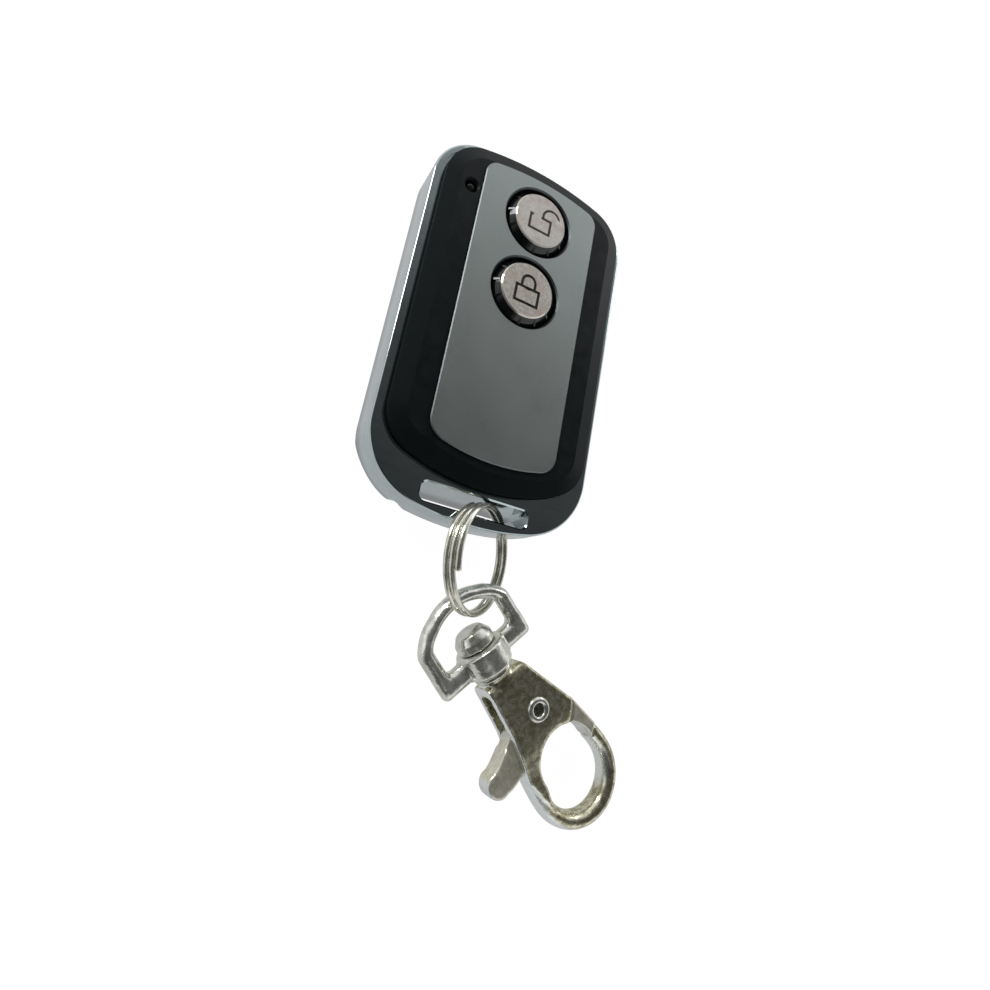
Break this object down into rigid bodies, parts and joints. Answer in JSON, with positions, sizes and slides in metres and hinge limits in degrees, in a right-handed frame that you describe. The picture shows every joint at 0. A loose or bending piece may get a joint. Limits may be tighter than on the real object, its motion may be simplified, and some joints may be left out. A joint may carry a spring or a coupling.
{
  "type": "wireless remote control",
  "caption": "Key-fob remote with unlock and lock push buttons in a chromed case, hung on a split ring, a D-ring and a swivel trigger snap.",
  "frame": {"origin": "on the flat back of the fob, at the middle of the back shell's outline", "axes": "+Z out of the buttons, +Y towards the indicator lamp's end and away from the key ring, +X to the right seen from the front"},
  "size_m": [0.0475, 0.092, 0.0121],
  "materials": {
    "bright_chrome": "bright plated die casting",
    "black_moulding": "satin black moulding",
    "satin_plate": "fine satin with polished edges",
    "button_metal": "satin plated moulding with bright edges",
    "switch_black": "moulded",
    "plunger_plastic": "moulded",
    "board_laminate": "lacquered laminate",
    "lamp_clear": "clear cast resin",
    "chip_black": "moulded",
    "tinned_metal": "tin plated sheet",
    "copper": "bare strip",
    "cell_steel": "drawn can",
    "screw_steel": "zinc plated",
    "nickel_plate": "nickel plated, lightly yellowed",
    "spring_steel": "hardened wire"
  },
  "bodies": {
    "fob": {"back_shell": "bright_chrome", "front_housing": "black_moulding", "face_plate": "satin_plate", "unlock_switch": "switch_black", "lock_switch": "switch_black", "circuit_board": "board_laminate", "indicator_lamp": "lamp_clear", "encoder_chip": "chip_black", "saw_resonator": "tinned_metal", "rf_transistor": "chip_black", "trimmer_capacitor": "chip_black", "chip_parts": "chip_black", "antenna_loop": "copper", "coin_cell": "cell_steel", "can_contact": "tinned_metal", "cap_contact": "tinned_metal", "case_screws": "screw_steel", "board_screws": "screw_steel"},
    "unlock_key": {"unlock_button": "button_metal", "unlock_plunger": "plunger_plastic"},
    "lock_key": {"lock_button": "button_metal", "lock_plunger": "plunger_plastic"},
    "ring": {"split_ring": "nickel_plate"},
    "dee": {"d_ring": "nickel_plate"},
    "hook": {"hook_body": "nickel_plate", "gate_rivet": "nickel_plate", "gate_spring": "spring_steel"},
    "gate": {"gate_lever": "nickel_plate"}
  },
  "joints": [
    {"name": "unlock_press", "type": "slide", "parent": "fob", "child": "unlock_key", "axis": [0, 0, -1], "range_m": [0, 0.0004], "stiffness_N_per_m": 1500, "springref_m": -0.0005},
    {"name": "lock_press", "type": "slide", "parent": "fob", "child": "lock_key", "axis": [0, 0, -1], "range_m": [0, 0.0004], "stiffness_N_per_m": 1500, "springref_m": -0.0005},
    {"name": "ring_roll", "type": "hinge", "parent": "fob", "child": "ring", "pos_m": [0.0028, -0.0313, 0.0059], "axis": [0, 1, 0], "range_deg": [0, 79]},
    {"name": "dee_swing", "type": "hinge", "parent": "ring", "child": "dee", "pos_m": [0.0028, -0.0378, 0.0059], "axis": [-0.6428, 0, 0.766], "range_deg": [-75, 4]},
    {"name": "hook_swivel", "type": "hinge", "parent": "dee", "child": "hook", "pos_m": [0.00711, -0.0441, 0.00439], "axis": [-0.7403, 0.6666, 0.0872], "continuous": true},
    {"name": "gate_open", "type": "hinge", "parent": "hook", "child": "gate", "pos_m": [0.01528, -0.04917, 0.00357], "axis": [-0.0648, 0.0583, -0.9962], "range_deg": [0, 28], "stiffness_Nm_per_rad": 0.02, "springref_deg": -34.38}
  ]
}
